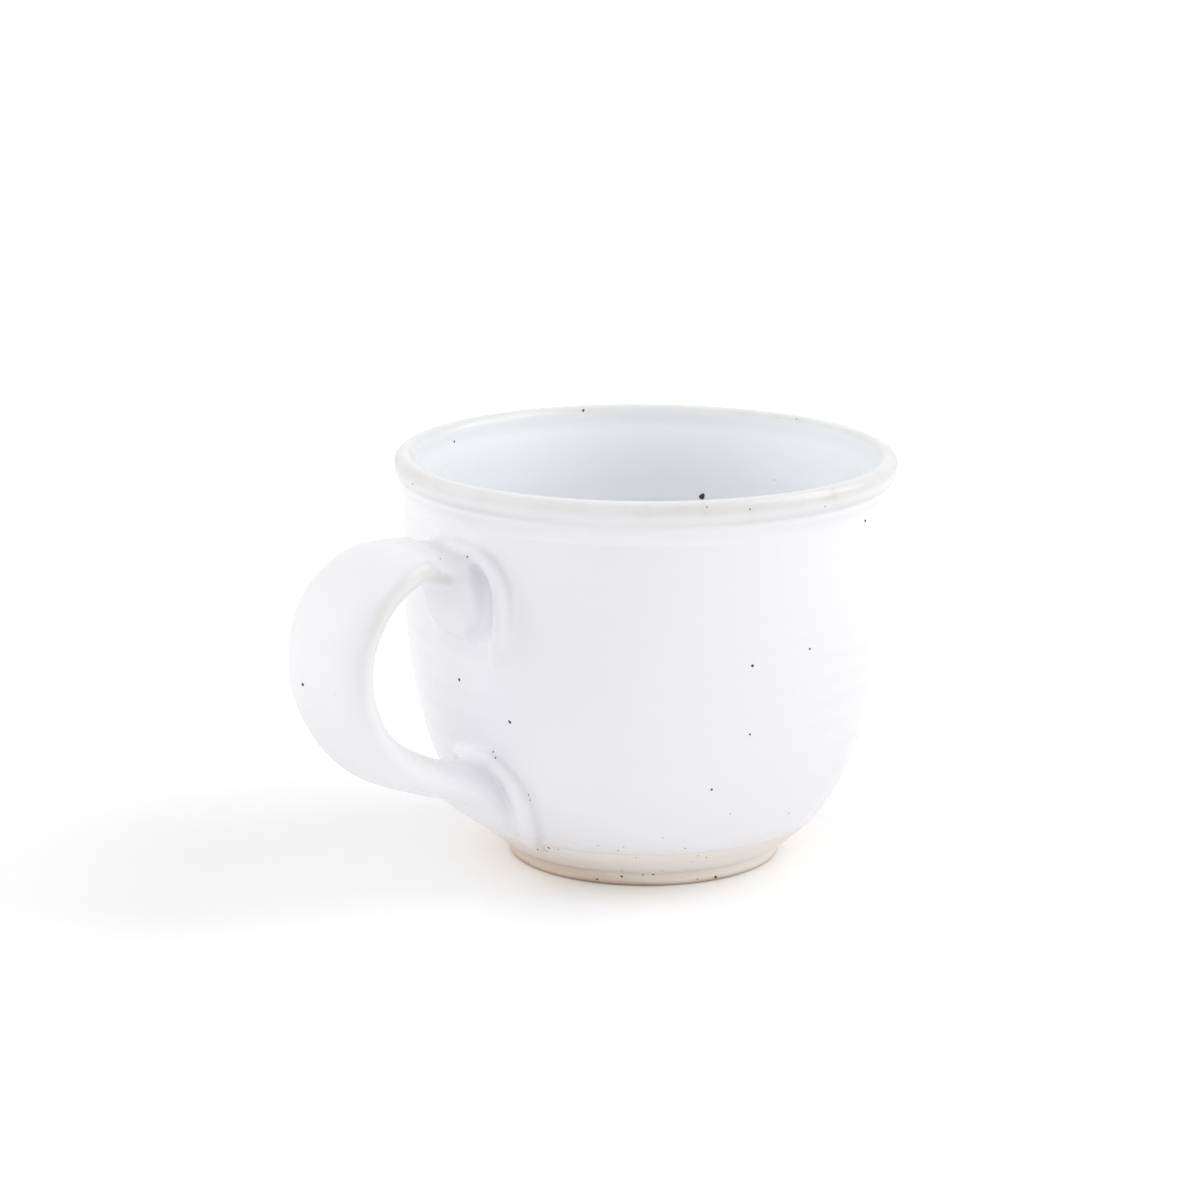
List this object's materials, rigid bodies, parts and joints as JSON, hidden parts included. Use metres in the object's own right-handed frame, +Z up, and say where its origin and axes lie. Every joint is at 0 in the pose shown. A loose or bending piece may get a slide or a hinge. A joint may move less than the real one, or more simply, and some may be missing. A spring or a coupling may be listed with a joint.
{
  "type": "mug",
  "caption": "Round-bellied stoneware mug with a rolled rim, a broad pulled strap handle and a small bare foot ring; holds a hot drink.",
  "frame": {"origin": "centre of the foot ring on the plane that the mug stands on", "axes": "+Z up along the cup's axis, the handle points along -X and lies in the XZ plane"},
  "size_m": [0.135, 0.1, 0.082],
  "materials": {
    "bare_clay": "matt fired buff stoneware, slightly sandy, with iron specks",
    "slip": "fired joining slip, matt",
    "white_glaze": "satin-gloss cool white glaze that breaks to warm beige over the rim, with iron specks"
  },
  "bodies": {
    "root": {"cup_body": "bare_clay", "foot_ring": "bare_clay", "handle_strap": "bare_clay", "upper_slip_joint": "slip", "lower_slip_joint": "slip", "inner_glaze": "white_glaze", "outer_glaze": "white_glaze", "handle_glaze": "white_glaze"}
  },
  "joints": []
}
